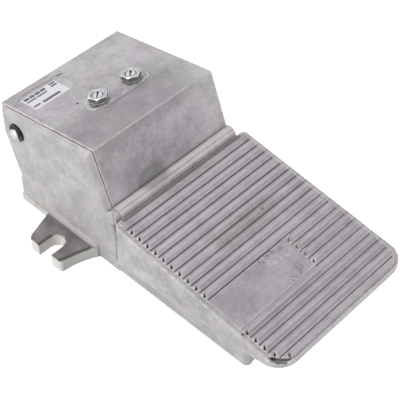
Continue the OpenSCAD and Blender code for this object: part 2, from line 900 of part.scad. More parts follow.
// low flange along the wall behind a lug; drawn on the +x side
module flange() {
    translate([0, base_rear_y - over / 2, 0])
        rotate([90, 0, 0])
            linear_extrude(base_rear_y - slot_y - lug_end / 2)
                polygon([[ear_out - ear_wall / 2, 0],
                    [ear_out + flange_out, 0],
                    [ear_out + flange_out, flange_h - flange_out],
                    [ear_out, flange_h],
                    [ear_out - ear_wall / 2, flange_h]]);
}

module prong_corner(x, y, way) {
    difference() {
        translate([x - prong_round, way > 0 ? y - over : y - prong_round])
            square([prong_round + over, prong_round + over]);
        translate([x - prong_round, y + way * prong_round])
            circle(prong_round);
    }
}

module base() {
    color(cast_grey)
        difference() {
            union() {
                // tray
                difference() {
                    intersection() {
                        side_slab(-ear_out, ear_out)
                            polygon([[base_front_y, front_lift],
                                [sole_y, front_lift],
                                [sole_y, 0],
                                [base_rear_y, 0],
                                [base_rear_y, heel_z],
                                [side_wall_y, side_wall_z],
                                [base_front_y, front_wall_z]]);
                        linear_extrude(far)
                            plan(ear_out, base_front_y, base_rear_y, base_round, over / 2);
                    }
                    translate([-ear_in, base_front_y + ear_wall, floor_z])
                        cube([2 * ear_in, far, far]);
                }
                ear(right_ear_drop, right_ear_back);
                mirror([1, 0, 0]) {
                    ear(ear_drop, 0);
                    // nose over the end of the bead
                    translate([ear_in, bead_y, bead_z])
                        rotate([0, 90, 0])
                            cylinder(r = nose_r, h = ear_wall - nose_step);
                }
                both_sides() {
                    lug();
                    flange();
                    translate([ear_out - foot_d / 2 - over / 2, base_front_y + foot_d / 2, 0])
                        cylinder(d = foot_d, h = front_lift + over);
                }
            }
            bar(pivot_y, pivot_z, pin_d / 2 + pin_fit, ear_out + over);
            // screws of the valve body, from below
            valve_screw_places()
                union() {
                    translate([0, 0, -over])
                        cylinder(d = screw_d + 2 * bolt_play, h = floor_z + 2 * over);
                    translate([0, 0, -seat_gap])
                        cylinder(d1 = screw_head_d + 2 * bolt_play, d2 = screw_d + 2 * bolt_play,
                            h = (screw_head_d - screw_d) / 2);
                }
            translate([0, bumper_y, 0])
                cylinder(r = bumper_stem / 2 + stem_gap, h = floor_z + over);
        }
}

// half of the pin's outline: radius along x, length along y from the middle
module pin_half_outline() {
    end = ear_out + pin_out;
    shoulder = end - dome_r + sqrt(dome_r * dome_r - pin_d * pin_d / 4);
    difference() {
        union() {
            square([pin_d / 2, shoulder]);
            intersection() {
                translate([0, end - dome_r])
                    circle(dome_r);
                square([pin_d / 2, end]);
            }
        }
        translate([pin_d / 2 - groove_depth, ear_out + pin_fit])
            square([groove_depth + over, ring_t + 4 * seat_gap]);
    }
}

module pivot_pin() {
    color(steel)
        translate([0, pivot_y, pivot_z])
            rotate([0, 90, 0])
                rotate_extrude() {
                    pin_half_outline();
                    mirror([0, 1])
                        pin_half_outline();
                }
}

module pin_rings() {
    inner = pin_d / 2 - groove_depth + pin_fit;
    color(dark_steel)
        both_sides()
            translate([ear_out + pin_fit + 2 * seat_gap, pivot_y, pivot_z])
                rotate([0, 90, 0])
                    linear_extrude(ring_t)
                        difference() {
                            circle(d = ring_d);
                            circle(inner);
                            translate([0, -inner * 0.8])
                                square([ring_d, inner * 1.6]);
                            for (way = [-1, 1])
                                rotate(180 + way * 60)
                                    translate([inner + (ring_d / 2 - inner) * 0.25, 0])
                                        circle(r = (ring_d / 2 - inner) * 0.3, $fn = 24);
                        }
}

// bolt frame: on the hood at each bolt
module bolt_places() {
    on_hood()
        for (side = [-1, 1])
            translate([side * bolt_gap / 2, bolt_s, 0])
                children();
}

module striker_bolts() {
    color(steel)
        bolt_places()
            difference() {
                union() {
                    translate([0, 0, head_top - head_h])
                        cylinder(d = bolt_flats / cos(30), h = head_h, $fn = 6);
                    translate([0, 0, head_top - over])
                        cylinder(d = bolt_d, h = bolt_end - thread_chamfer - head_top + over);
                    translate([0, 0, bolt_end - thread_chamfer])
                        cylinder(d1 = bolt_d, d2 = bolt_d - 2 * thread_chamfer, h = thread_chamfer);
                }
                rotate(driver_turn)
                    translate([-bolt_d, -driver_w / 2, bolt_end - driver_depth])
                        cube([2 * bolt_d, driver_w, driver_depth + over]);
            }
}

module bolt_washers() {
    color(steel)
        bolt_places()
            translate([0, 0, washer_low])
                difference() {
                    cylinder(d = washer_d, h = washer_t);
                    translate([0, 0, -over])
                        cylinder(r = hole_r, h = washer_t + 2 * over);
                    rotate(40)
                        translate([0, -washer_t / 4, -over])
                            cube([washer_d, washer_t / 2, washer_t + 2 * over]);
                }
}

module striker_plate() {
    color(dark_steel)
        on_hood()
            translate([0, 0, striker_low])
                linear_extrude(striker_t)
                    difference() {
                        union() {
                            translate([-striker_w / 2, striker_rear_s - striker_len])
                                square([striker_w, striker_len]);
                            translate([-tongue_w / 2, tongue_front_s])
                                square([tongue_w, striker_rear_s - striker_len / 2 - tongue_front_s]);
                        }
                        for (side = [-1, 1])
                            translate([side * bolt_gap / 2, bolt_s])
                                circle(hole_r);
                    }
}

module striker_nut(turn) {
    corner = bolt_flats / cos(30);
    bore_r = bolt_d / 2 + thread_gap;
    difference() {
        intersection() {
            rotate(turn)
                cylinder(d = corner, h = nut_h, $fn = 6);
            cylinder(d1 = bolt_flats + 2 * nut_h / tan(30), d2 = bolt_flats, h = nut_h);
        }
        translate([0, 0, -over])
            cylinder(r = bore_r, h = nut_h + 2 * over);
        translate([0, 0, nut_h - thread_chamfer])
            cylinder(r1 = bore_r, r2 = bore_r + 2 * thread_chamfer, h = 2 * thread_chamfer);
    }
}

module striker_nuts() {
    color(steel)
        on_hood() {
            translate([-bolt_gap / 2, bolt_s, nut_low])
                striker_nut(left_nut_turn);
            translate([bolt_gap / 2, bolt_s, nut_low])
                striker_nut(right_nut_turn);
        }
}

module spring_cap() {
    inner = return_d / 2 - return_wire - return_play / 2;
    color(dark_steel)
        difference() {
            translate([0, return_y, 0]) {
                translate([0, 0, cap_low])
                    cylinder(d = return_d + return_wire, h = 2 * cap_t);
                translate([0, 0, cap_low - cap_stub])
                    cylinder(r = inner, h = cap_stub + over);
            }
            on_hood()
                translate([-far / 2, 0, striker_low - seat_gap])
                    cube([far, far, far]);
        }
}

module return_spring() {
    color(steel)
        translate([0, return_y, 0])
            coil(return_low, return_high, return_wire, return_d, return_turns);
}

module port_places() {
    for (i = [-1, 0, 1])
        translate([i * port_low_gap, valve_rear_y, port_low_z])
            rotate([90, 0, 0])
                children();
    for (i = [-1, 1])
        translate([i * port_high_gap / 2, valve_rear_y, port_high_z])
            rotate([90, 0, 0])
                children();
}

module valve_screw_places() {
    for (side = [-1, 1])
        for (y = [screw_front_y, screw_rear_y])
            translate([side * screw_x, y, 0])
                children();
}

module cover_screw_places() {
    for (side = [-1, 1])
        translate([side * cover_screw_gap / 2, spool_y, 0])
            children();
}

module valve_body() {
    port_end = valve_rear_y - port_depth + over;
    color(machined)
        difference() {
            union() {
                translate([-valve_w / 2, valve_front_y, floor_z + seat_gap])
                    cube([valve_w, valve_rear_y - valve_front_y, valve_top_z - floor_z - seat_gap]);
                translate([-neck_w / 2, spool_y - neck_len / 2, valve_top_z - over])
                    cube([neck_w, neck_len, neck_z - valve_top_z + over]);
            }
            // spool bore, seats of the guide and the bottom plug
            translate([0, spool_y, 0])
                cylinder(r = bore_r, h = far);
            translate([0, spool_y, guide_low])
                cylinder(d = guide_d + 2 * thread_gap, h = far);
            translate([0, spool_y, 0])
                cylinder(d = plug_d + 2 * thread_gap, h = plug_top_z + seat_gap);
            // ports
            port_places()
                union() {
                    translate([0, 0, -over])
                        cylinder(d = port_d, h = port_depth + over);
                    translate([0, 0, -over])
                        cylinder(d = spot_d, h = spot_depth + over);
                }
            passage([0, port_end, port_low_z], [0, spool_y, seal_low_z + 2.5 * seal_pitch], passage_d / 2);
            passage([-port_high_gap / 2, port_end, port_high_z], [0, spool_y, seal_low_z + 1.5 * seal_pitch],
                passage_d / 2);
            passage([port_high_gap / 2, port_end, port_high_z], [0, spool_y, seal_low_z + 3.5 * seal_pitch],
                passage_d / 2);
            passage([-port_low_gap, port_end, port_low_z], [0, spool_y, seal_low_z + 0.5 * seal_pitch],
                passage_d / 2);
            passage([port_low_gap, port_end, port_low_z], [0, spool_y, seal_low_z + 4.5 * seal_pitch],
                passage_d / 2);
            // seat of the return spring
            translate([0, return_y, valve_top_z - return_seat])
                cylinder(r = return_d / 2 + return_play, h = far);
            // screw holes
            valve_screw_places()
                cylinder(r = screw_d / 2 + thread_gap, h = floor_z + screw_depth + over);
            cover_screw_places()
                translate([0, 0, neck_z - cover_screw_depth - over])
                    cylinder(r = cover_screw_d / 2 + thread_gap, h = far);
        }
}

module valve_screws() {
    color(steel)
        valve_screw_places()
            union() {
                cylinder(d = screw_d, h = floor_z + screw_depth);
                cylinder(d1 = screw_head_d, d2 = screw_d, h = (screw_head_d - screw_d) / 2);
            }
}

module spool_guide() {
    color(brass)
        translate([0, spool_y, 0])
            difference() {
                translate([0, 0, guide_low + seat_gap])
                    cylinder(d = guide_d, h = guide_h - 2 * seat_gap);
                cylinder(r = stem_d / 2 + stem_fit, h = far);
                translate([0, 0, neck_z - wiper_t - 2 * seat_gap])
                    cylinder(r = stem_d / 2 + wiper_t + stem_fit + seat_gap, h = far);
            }
}

module wiper_ring() {
    color(black_rubber)
        translate([0, spool_y, neck_z - wiper_t - seat_gap])
            difference() {
                cylinder(r = stem_d / 2 + wiper_t + stem_fit, h = wiper_t - 2 * seat_gap);
                translate([0, 0, -over])
                    cylinder(r = stem_d / 2 + stem_fit, h = wiper_t + 2 * over);
            }
}

module top_cover() {
    color(steel)
        translate([0, spool_y, cover_low])
            difference() {
                translate([-neck_w / 2, -neck_len / 2, 0])
                    cube([neck_w, neck_len, cover_t]);
                translate([0, 0, -over])
                    cylinder(r = stem_d / 2 + spool_gap, h = cover_t + 2 * over);
                for (side = [-1, 1])
                    translate([side * cover_screw_gap / 2, 0, -over])
                        cylinder(r = cover_screw_d / 2 + bolt_play, h = cover_t + 2 * over);
            }
}

module cover_screws() {
    head = cover_screw_d * 0.6;
    color(steel)
        cover_screw_places()
            difference() {
                union() {
                    translate([0, 0, neck_z - cover_screw_depth])
                        cylinder(d = cover_screw_d, h = cover_screw_depth + cover_t + over);
                    translate([0, 0, cover_top + seat_gap])
                        cylinder(d = cover_head_d, h = head);
                }
                translate([0, 0, cover_top + head / 2])
                    cylinder(d = cover_screw_d * 0.7, h = head, $fn = 6);
            }
}

module spool() {
    groove_r = seal_mid - seal_t / 2 - seat_gap;
    color(steel)
        translate([0, spool_y, 0])
            difference() {
                union() {
                    translate([0, 0, spool_low_z])
                        cylinder(d = spool_d, h = spool_high_z - spool_low_z);
                    translate([0, 0, spool_high_z - over])
                        cylinder(d = stem_d, h = button_z - spool_high_z + over);
                    translate([0, 0, button_z])
                        intersection() {
                            sphere(button_r);
                            cylinder(r = button_r, h = button_r + over);
                        }
                    translate([0, 0, button_z - button_h])
                        cylinder(r = button_r, h = button_h);
                }
                for (i = [0 : seal_count - 1])
                    translate([0, 0, seal_low_z + i * seal_pitch - seal_t / 2 - seat_gap])
                        difference() {
                            cylinder(d = spool_d + over, h = seal_t + 2 * seat_gap);
                            cylinder(r = groove_r, h = seal_t + 2 * seat_gap);
                        }
            }
}

module spool_seals() {
    color(black_rubber)
        translate([0, spool_y, 0])
            for (i = [0 : seal_count - 1])
                translate([0, 0, seal_low_z + i * seal_pitch])
                    rotate_extrude()
                        translate([seal_mid, 0])
                            circle(d = seal_t, $fn = 24);
}

module spool_spring() {
    color(steel)
        translate([0, spool_y, 0])
            coil(plug_top_z + spring_gap, spool_low_z - spring_gap, spool_wire, spool_spring_d, spool_turns);
}

module bottom_plug() {
    groove_z = (plug_low + plug_top_z) / 2;
    color(brass)
        translate([0, spool_y, 0])
            difference() {
                translate([0, 0, plug_low])
                    cylinder(d = plug_d, h = plug_top_z - plug_low);
                translate([0, 0, groove_z - plug_seal_t / 2 - seat_gap])
                    difference() {
                        cylinder(d = plug_d + over, h = plug_seal_t + 2 * seat_gap);
                        cylinder(r = plug_d / 2 - plug_seal_t - seat_gap, h = plug_seal_t + 2 * seat_gap);
                    }
            }
}

module plug_seal() {
    color(black_rubber)
        translate([0, spool_y, (plug_low + plug_top_z) / 2])
            rotate_extrude()
                translate([plug_d / 2 - plug_seal_t / 2, 0])
                    circle(d = plug_seal_t, $fn = 24);
}

module stop_bumper() {
    color(black_rubber)
        translate([0, bumper_y, 0]) {
            translate([0, 0, floor_z + seat_gap])
                cylinder(d = bumper_d, h = bumper_top - floor_z - seat_gap);
            translate([0, 0, front_lift])
                cylinder(d = bumper_stem, h = floor_z);
        }
}

base();
pedal();
pivot_pin();
pin_rings();
striker_bolts();
bolt_washers();
striker_plate();
striker_nuts();
spring_cap();
return_spring();
valve_body();
valve_screws();
spool_guide();
wiper_ring();
top_cover();
cover_screws();
spool();
spool_seals();
spool_spring();
bottom_plug();
plug_seal();
stop_bumper();
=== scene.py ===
from math import cos, pi, radians, sin, tan

import bpy
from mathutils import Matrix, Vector


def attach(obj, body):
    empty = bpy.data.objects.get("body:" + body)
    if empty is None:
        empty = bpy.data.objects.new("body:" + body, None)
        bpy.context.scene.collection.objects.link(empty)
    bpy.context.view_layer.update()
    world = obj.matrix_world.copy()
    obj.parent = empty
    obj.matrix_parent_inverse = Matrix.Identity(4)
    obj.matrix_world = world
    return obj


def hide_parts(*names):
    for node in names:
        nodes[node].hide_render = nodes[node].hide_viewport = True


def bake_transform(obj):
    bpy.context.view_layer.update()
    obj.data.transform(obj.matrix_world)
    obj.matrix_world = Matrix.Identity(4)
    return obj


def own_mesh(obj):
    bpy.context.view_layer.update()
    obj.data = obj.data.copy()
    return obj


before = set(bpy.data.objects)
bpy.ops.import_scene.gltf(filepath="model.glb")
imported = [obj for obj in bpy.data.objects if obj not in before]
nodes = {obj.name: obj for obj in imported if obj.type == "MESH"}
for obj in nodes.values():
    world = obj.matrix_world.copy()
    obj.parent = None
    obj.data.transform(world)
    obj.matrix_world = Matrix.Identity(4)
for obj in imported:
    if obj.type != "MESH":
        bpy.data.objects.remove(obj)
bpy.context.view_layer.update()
scene = bpy.context.scene
MM = 0.001
X, Y, Z = 0, 1, 2

# Places on the hood and on the treadle, as in the part's source.
HOOD_TILT = radians(10)
RIDGE_Y = 30 * MM
RIDGE_Z = 74.25 * MM
TREAD_TILT = radians(8.1)
TREAD_MID_Z = 37.1 * MM
TREAD_TOP = 1.8 * MM
FIRST_GROOVE = 4.1 * MM
RIB_PITCH = 5.71 * MM
RIB_END_X = 47.2 * MM
PATCH_X = 9.5 * MM
PATCH_RIBS = (10, 14)
LAST_PIT = 18
PIT_X = -45.8 * MM
PATCH_PIT_X = 11.0 * MM
PIT_TURN = radians(46)
PIT_LENGTHENED = 1.8
BORDER_X = (46.0 * MM, 46.8 * MM)
BORDER_END_X = (49.7 * MM, 49.2 * MM)

# Painted shade lies on the base's level faces below the first height, and in full below the second.
# What stands out beyond the side is a lug.
LUG_SHADE_Z = (9.5 * MM, 8.2 * MM)
LUG_X = (47.6 * MM, 48.6 * MM)


def rgb(r, g, b):
    return (r, g, b, 1.0)


# Tones of the cast skin.
STAIN = rgb(0.29, 0.27, 0.29)
HAZE = rgb(0.56, 0.54, 0.55)
FLOW = rgb(0.62, 0.60, 0.61)
PALE_SKIN = rgb(0.58, 0.565, 0.57)
DARK_SKIN = rgb(0.27, 0.255, 0.27)
DARK_GRAIN = rgb(0.24, 0.23, 0.235)
# painted shade in corners and creases
CORNER_SHADE = rgb(0.22, 0.21, 0.215)
CREASE_SHADE = rgb(0.19, 0.18, 0.185)
# bright edges: rubbed, and a painted highlight
WORN_AND_HIGHLIGHT = rgb(0.72, 0.705, 0.695)
# painted shade on the lugs' tops
LUG_SHADE = rgb(0.115, 0.095, 0.098)
# painted light on the lugs' upright faces
LUG_SIDE_LIGHT = rgb(0.68, 0.665, 0.635)

# Tones of the treadle.
LILAC = rgb(0.26, 0.19, 0.26)
SLATE = rgb(0.20, 0.205, 0.22)
# rubbing, and a painted highlight along the crests
RUBBED_AND_HIGHLIT = rgb(0.60, 0.58, 0.60)
STREAK = rgb(0.25, 0.235, 0.25)
# painted shade along a dip in each rib
DIP_SHADE = rgb(0.24, 0.23, 0.24)
DULL = rgb(0.25, 0.21, 0.26)
# painted light that pales the grooves
GROOVE_LIGHT = rgb(0.52, 0.50, 0.52)
# painted shade round and in the pits
PIT_RIM = rgb(0.09, 0.08, 0.09)
PIT = rgb(0.05, 0.045, 0.05)
PIT_FILL = rgb(0.33, 0.29, 0.31)
# painted light deep in the filled pits
PIT_LIGHT = rgb(0.80, 0.76, 0.78)

# Tones of the marks, and how a mark's line breaks up.
# dark marks, and painted shade
DARK_MARK_AND_SHADE = rgb(0.10, 0.10, 0.095)
DIRT = rgb(0.17, 0.145, 0.13)
BLACK = rgb(0.03, 0.03, 0.03)
# pale marks, and painted light and highlights
PALE_MARK_AND_LIGHT = rgb(0.66, 0.65, 0.66)
# painted highlight on the bead
BEAD_HIGHLIGHT = rgb(0.67, 0.615, 0.64)
# shoe scuffs, and painted shade
SCUFF_AND_SHADE = rgb(0.20, 0.185, 0.20)
LEDGE = rgb(0.50, 0.45, 0.45)
WARM = rgb(0.64, 0.59, 0.56)
BROWN = rgb(0.20, 0.155, 0.13)
CLAY = rgb(0.45, 0.445, 0.435)
STRAIGHT = 0.15
BROKEN_LINE = 0.6
LINES = 2

# Tones of the other surfaces.
# painted shade on upright metal faces
UPRIGHT_SHADE = rgb(0.16, 0.16, 0.16)
# painted highlight on metal edges
EDGE_HIGHLIGHT = rgb(0.85, 0.86, 0.87)
RUBBER = rgb(0.02, 0.02, 0.02)
RUBBER_DUST = rgb(0.07, 0.07, 0.068)
FIBRE = rgb(0.5, 0.5, 0.5)


class Graph:
    """A shader graph: each method adds nodes and returns an output socket."""

    def __init__(self, name):
        self.mat = bpy.data.materials.new(name)
        self.mat.use_nodes = True
        self.tree = self.mat.node_tree
        self.bsdf = self.tree.nodes["Principled BSDF"]
        self.at = self.node("ShaderNodeTexCoord").outputs["Object"]
        self.geometry = self.node("ShaderNodeNewGeometry")

    def node(self, kind, **settings):
        new = self.tree.nodes.new(kind)
        for key, value in settings.items():
            setattr(new, key, value)
        return new

    def put(self, socket, value):
        if isinstance(value, bpy.types.NodeSocket):
            self.tree.links.new(value, socket)
        else:
            socket.default_value = value

    def math(self, operation, a, b=0.0):
        new = self.node("ShaderNodeMath", operation=operation)
        self.put(new.inputs[0], a)
        self.put(new.inputs[1], b)
        return new.outputs[0]

    def product(self, result, *others):
        for other in others:
            result = self.math("MULTIPLY", result, other)
        return result

    def noise(self, scale, detail=3.0, rough=0.55, at=None):
        new = self.node("ShaderNodeTexNoise")
        self.put(new.inputs["Vector"], at or self.at)
        self.put(new.inputs["Scale"], scale)
        self.put(new.inputs["Detail"], detail)
        self.put(new.inputs["Roughness"], rough)
        return new.outputs["Fac"]

    def stretched(self, x, y, z):
        new = self.node("ShaderNodeMapping")
        self.put(new.inputs["Vector"], self.at)
        self.put(new.inputs["Scale"], (x, y, z))
        return new.outputs["Vector"]

    def span(self, value, start, stop, low=0.0, high=1.0):
        """From low to high while a value goes from start to stop, eased at both ends."""
        new = self.node("ShaderNodeMapRange", interpolation_type="SMOOTHSTEP")
        names = ("Value", "From Min", "From Max", "To Min", "To Max")
        for name, number in zip(names, (value, start, stop, low, high)):
            self.put(new.inputs[name], number)
        return new.outputs["Result"]

    def near(self, value, place, reach, strength):
        """Strength where a value lies at a place, fading to nought at its reach."""
        away = self.math("ABSOLUTE", self.math("SUBTRACT", value, place))
        return self.span(away, reach, 0.0, 0.0, strength)

    def mix(self, factor, a, b):
        new = self.node("ShaderNodeMix", data_type="RGBA")
        self.put(new.inputs[0], factor)
        self.put(new.inputs[6], a)
        self.put(new.inputs[7], b)
        return new.outputs[2]

    def layered(self, color, *layers):
        """A colour under layers, each a mask and a tone, the last on top."""
        for mask, tone in layers:
            color = self.mix(mask, color, tone)
        return color

    def split(self, vector, axis):
        new = self.node("ShaderNodeSeparateXYZ")
        self.put(new.inputs[0], vector)
        return new.outputs[axis]

    def place(self, axis):
        return self.split(self.at, axis)

    def facing(self, axis):
        """How far the surface faces along an axis."""
        return self.split(self.geometry.outputs["Normal"], axis)

    def open_sky(self, distance, inside=False):
        """How much of the sky is free within a distance; inside the solid it falls off at outer edges."""
        new = self.node("ShaderNodeAmbientOcclusion", samples=8, inside=inside, only_local=inside)
        self.put(new.inputs["Distance"], distance)
        return new.outputs["AO"]

    def soft_edge(self, radius):
        """The normal with rounded edges."""
        new = self.node("ShaderNodeBevel", samples=6)
        self.put(new.inputs["Radius"], radius)
        return new.outputs["Normal"]

    def bump(self, height, strength, distance, normal=None):
        new = self.node("ShaderNodeBump")
        self.put(new.inputs["Height"], height)
        self.put(new.inputs["Strength"], strength)
        self.put(new.inputs["Distance"], distance)
        if normal is not None:
            self.put(new.inputs["Normal"], normal)
        return new.outputs["Normal"]

    def vector(self, operation, a, b=None, scale=None):
        new = self.node("ShaderNodeVectorMath", operation=operation)
        self.put(new.inputs[0], a)
        if b is not None:
            self.put(new.inputs[1], b)
        if scale is not None:
            self.put(new.inputs["Scale"], scale)
        return new.outputs["Value" if operation in ("DOT_PRODUCT", "DISTANCE") else "Vector"]

    def wavering(self, scale, amount):
        """The place on the part, pushed about a little so that marks don't come out straight."""
        new = self.node("ShaderNodeTexNoise")
        self.put(new.inputs["Vector"], self.at)
        self.put(new.inputs["Scale"], scale)
        centred = self.vector("SUBTRACT", new.outputs["Color"], (0.5, 0.5, 0.5))
        return self.vector("ADD", self.at, self.vector("SCALE", centred, scale=amount))

    def stroke(self, at, start, stop, inner, outer):
        """One along a line between two places in mm, fading to nought between two distances in mm."""
        start = Vector(start) * MM
        way = Vector(stop) * MM - start
        offset = self.vector("SUBTRACT", at, tuple(start))
        square = max(way.length_squared, 1e-9)
        along = self.math("DIVIDE", self.vector("DOT_PRODUCT", offset, tuple(way)), square)
        along.node.use_clamp = True
        nearest = self.vector("SCALE", tuple(way), scale=along)
        return self.span(self.vector("DISTANCE", offset, nearest), outer * MM, inner * MM)

    def finish(self, color, rough, metal, normal):
        self.put(self.bsdf.inputs["Base Color"], color)
        self.put(self.bsdf.inputs["Roughness"], rough)
        self.put(self.bsdf.inputs["Metallic"], metal)
        self.put(self.bsdf.inputs["Normal"], normal)
        return self.mat


class Treadle:
    """Where a place lies on the treadle, and the look of its ribs, bare patch and pits."""

    def __init__(self, g):
        self.g = g
        self.x = g.place(X)
        self.count = self.rib_count()
        self.phase = g.math("FRACT", self.count)
        self.height = self.over_plate()
        self.top = g.product(g.math("LESS_THAN", g.math("ABSOLUTE", self.height), TREAD_TOP),
                             g.span(g.place(Y), FIRST_GROOVE + 0.3 * MM, FIRST_GROOVE - 0.2 * MM))
        outward = g.math("ABSOLUTE", self.x)
        self.whole = g.product(self.top, g.span(outward, RIB_END_X + 0.4 * MM, RIB_END_X - 0.4 * MM))
        first, last = PATCH_RIBS
        self.bare = g.product(self.whole,
                              g.span(self.count, first - 0.1, first + 0.1),
                              g.span(self.count, last + 0.1, last - 0.1),
                              g.span(self.x, PATCH_X + 0.5 * MM, PATCH_X - 0.5 * MM))
        self.ribs = g.math("SUBTRACT", self.whole, self.bare)

    def rib_count(self):
        """Ribs from the first groove to here: whole at a groove."""
        up = self.g.vector("DOT_PRODUCT", self.g.at, (0.0, cos(TREAD_TILT), sin(TREAD_TILT)))
        start = FIRST_GROOVE + TREAD_MID_Z * sin(TREAD_TILT)
        return self.g.math("DIVIDE", self.g.math("SUBTRACT", start, up), RIB_PITCH)

    def over_plate(self):
        """Height over the treadle's plate."""
        level = self.g.vector("DOT_PRODUCT", self.g.at, (0.0, -sin(TREAD_TILT), cos(TREAD_TILT)))
        return self.g.math("SUBTRACT", level, TREAD_MID_Z * cos(TREAD_TILT))

    def at_groove(self, reach, strength):
        """Strength in the groove on either side of the rib, fading to nought at its reach."""
        sides = [self.g.near(self.phase, side, reach, strength) for side in (0.0, 1.0)]
        return self.g.math("ADD", *sides)

    def from_pit(self, pit_x):
        """Distance from the middle of the pit in this rib, shorter along the pit."""
        g = self.g
        across = g.math("SUBTRACT", self.x, pit_x)
        up = g.product(g.math("SUBTRACT", 0.5, self.phase), RIB_PITCH)
        along = g.math("ADD", g.product(across, sin(PIT_TURN) / PIT_LENGTHENED),
                       g.product(up, cos(PIT_TURN) / PIT_LENGTHENED))
        beside = g.math("SUBTRACT", g.product(across, cos(PIT_TURN)), g.product(up, sin(PIT_TURN)))
        return g.math("SQRT", g.math("ADD", g.product(along, along), g.product(beside, beside)))

    def ribbed(self, color):
        """Rubbed crests with a painted highlight, streaks, and a painted shade along a dip in each rib;
        toward the toe the ribs are duller and the grooves painted paler, a painted light over their shade.
        The grooves run out over the right border as painted shade, dark lines each with a painted
        highlight beside it."""
        g, ribs, count, phase = self.g, self.ribs, self.count, self.phase
        streak = g.noise(1.0, 2, 0.5, g.stretched(14, 1000, 1000))
        dip = g.product(g.near(phase, 0.69, 0.15, 1.0), g.span(count, 13.0, 15.0, 0.20, 0.46))
        toeward = g.product(ribs, g.span(count, 5.0, 13.0))
        border = g.product(self.top, g.span(self.x, *BORDER_X), g.span(self.x, *BORDER_END_X),
                           g.span(count, 17.0, 16.7))
        return g.layered(
            color,
            (g.product(self.whole, 0.25), LILAC),
            (g.product(self.bare, 0.07), SLATE),
            (g.product(ribs, g.span(streak, 0.50, 0.70, 0.0, 0.30)), RUBBED_AND_HIGHLIT),
            (g.product(ribs, g.span(streak, 0.50, 0.30, 0.0, 0.30)), STREAK),
            # painted highlight along each rib's crest
            (g.product(ribs, g.near(phase, 0.42, 0.26, 0.30)), RUBBED_AND_HIGHLIT),
            (g.product(ribs, dip), DIP_SHADE),
            (g.product(toeward, 0.10), DULL),
            # painted light in the grooves toward the toe
            (g.product(toeward, self.at_groove(0.16, 0.45)), GROOVE_LIGHT),
            # painted shade and highlight where the grooves run out over the border
            (g.product(border, self.at_groove(0.12, 0.55)), DARK_MARK_AND_SHADE),
            (g.product(border, g.near(phase, 0.84, 0.10, 0.5)), PALE_MARK_AND_LIGHT))

    def pitted(self, color):
        """Painted shade in and round the pits.
        Those beside the bare patch are nearly filled, but for the last, with painted light deep inside
        them."""
        g, ribs, count = self.g, self.ribs, self.count
        first, last = PATCH_RIBS
        above_toe = g.span(count, LAST_PIT, LAST_PIT - 0.1)
        smudge = g.product(g.span(self.from_pit(PIT_X), 1.15 * MM, 0.70 * MM, 0.0, 0.45), above_toe)
        pit = g.product(g.span(self.height, 0.50 * MM, 0.30 * MM),
                        g.near(self.phase, 0.5, 0.40, 0.95), above_toe)
        filled = g.product(ribs, g.span(self.from_pit(PATCH_PIT_X), 2.4 * MM, 1.4 * MM, 0.0, 0.8),
                           g.span(count, first - 0.05, first + 0.05),
                           g.span(count, last - 0.95, last - 1.05))
        deep = g.span(self.height, 0.75 * MM, 0.35 * MM)
        # painted shade in and round the pits, and painted light deep in the filled ones
        return g.layered(color, (g.product(ribs, smudge), PIT_RIM), (g.product(ribs, pit), PIT),
                         (filled, PIT_FILL), (g.product(filled, deep), PIT_LIGHT))


def marked(g, color, marks, skin):
    """A colour with marks on it, each (colour, strength, start, stop, inner, outer, breakup).
    LINES as breakup draws squiggles.
    A mark that is BROKEN_LINE, or broken up no more than STRAIGHT, keeps its line."""
    waver = g.wavering(160, 3.0 * MM)
    squiggle = g.near(g.noise(300, 2), 0.5, 0.075, 1.0)
    for tone, strength, start, stop, inner, outer, breakup in marks:
        straight = breakup <= STRAIGHT or breakup == BROKEN_LINE
        mask = g.stroke(g.at if straight else waver, start, stop, inner, outer)
        if breakup == LINES:
            mask = g.product(mask, squiggle)
        elif breakup:
            mask = g.product(mask, g.span(skin, 0.35, 0.62, 1.0 - breakup, 1.0))
        color = g.mix(g.product(mask, strength), color, tone)
    return color


